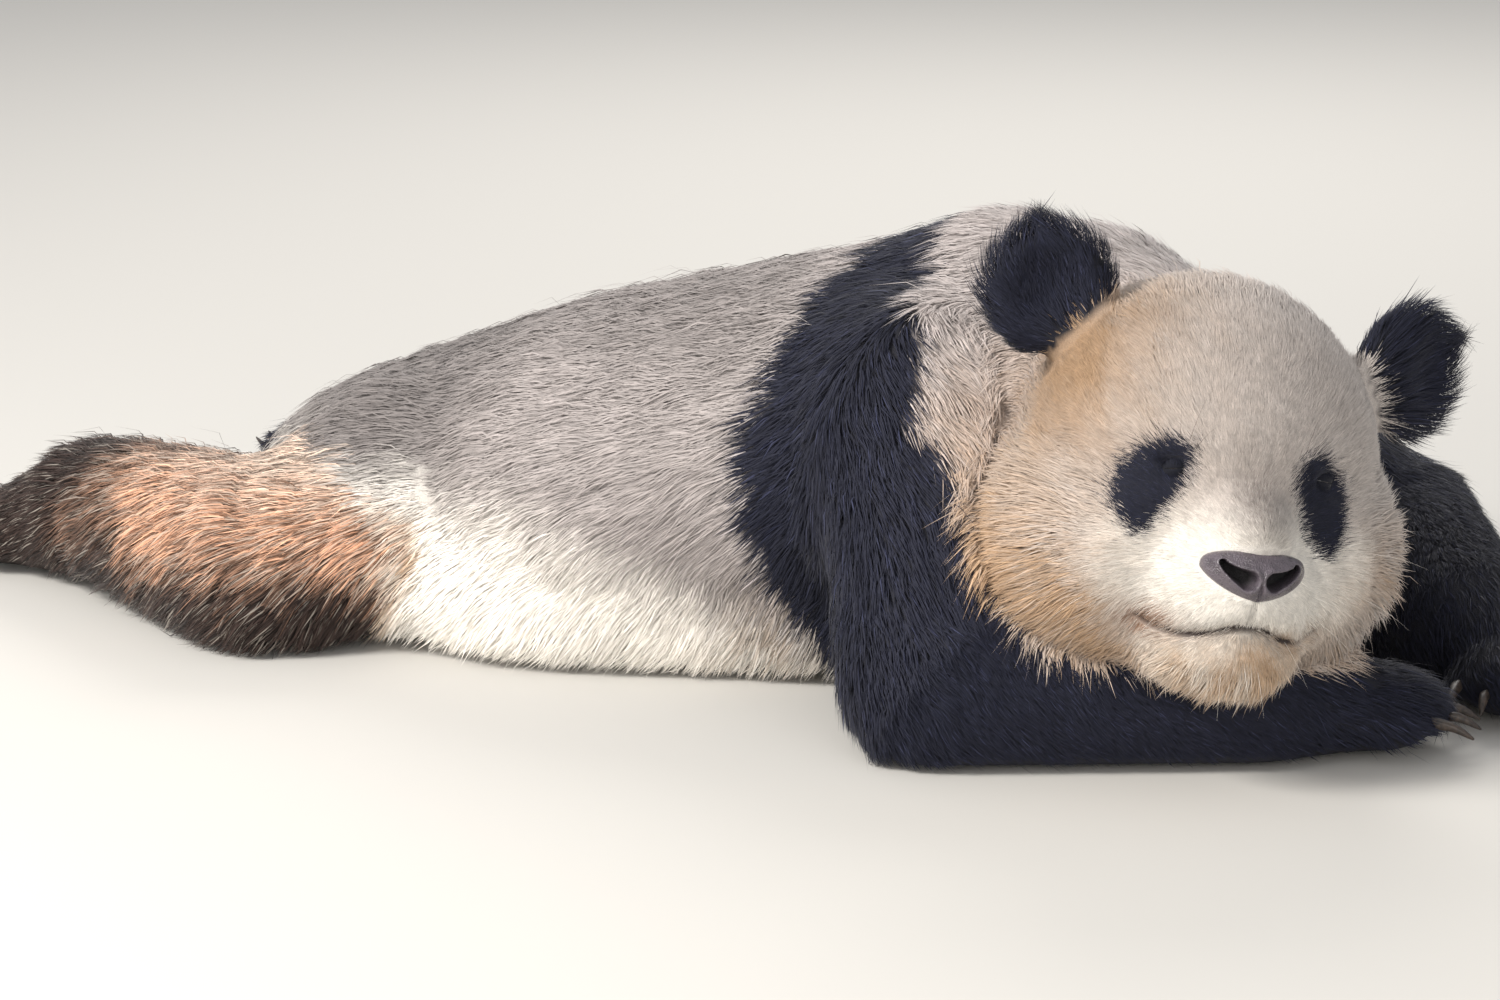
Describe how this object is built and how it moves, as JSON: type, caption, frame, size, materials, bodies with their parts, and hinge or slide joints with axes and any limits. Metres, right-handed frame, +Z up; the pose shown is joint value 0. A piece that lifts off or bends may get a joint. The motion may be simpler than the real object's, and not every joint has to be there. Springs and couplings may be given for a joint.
{
  "type": "giant panda",
  "caption": "Giant panda asleep on its belly, jaw resting on folded forelegs, hind legs stretched out behind.",
  "frame": {"origin": "on the floor under the middle of the trunk, on the flat of the belly", "axes": "+X along the trunk towards the head, +Y towards the animal's left, +Z up"},
  "size_m": [1.6275, 0.7476, 0.4514],
  "materials": {
    "white_coat": "long dense fur, cream white, greyer along the back",
    "black_coat": "long dense fur, blue black",
    "bleached_coat": "black fur bleached red brown by the sun",
    "nose_leather": "bare pebbled skin, slightly moist",
    "eye": "wet, dark brown",
    "claw": "horn, brown grey"
  },
  "bodies": {
    "root": {"head": "white_coat", "neck": "white_coat", "trunk": "white_coat", "tail": "white_coat", "shoulders": "black_coat", "ear_right": "black_coat", "ear_left": "black_coat", "right_upper_arm": "black_coat", "right_forearm": "black_coat", "right_paw": "black_coat", "left_upper_arm": "black_coat", "left_forearm": "black_coat", "left_paw": "black_coat", "right_shank": "black_coat", "right_foot": "black_coat", "left_shank": "black_coat", "left_foot": "black_coat", "right_thigh": "bleached_coat", "left_thigh": "bleached_coat", "nose": "nose_leather", "eye_right": "eye", "eye_left": "eye", "right_paw_claw_1": "claw", "right_paw_claw_2": "claw", "right_paw_claw_3": "claw", "right_paw_claw_4": "claw", "right_paw_claw_5": "claw", "left_paw_claw_1": "claw", "left_paw_claw_2": "claw", "left_paw_claw_3": "claw", "left_paw_claw_4": "claw", "left_paw_claw_5": "claw", "right_foot_claw_1": "claw", "right_foot_claw_2": "claw", "right_foot_claw_3": "claw", "right_foot_claw_4": "claw", "right_foot_claw_5": "claw", "left_foot_claw_1": "claw", "left_foot_claw_2": "claw", "left_foot_claw_3": "claw", "left_foot_claw_4": "claw", "left_foot_claw_5": "claw"}
  },
  "joints": []
}
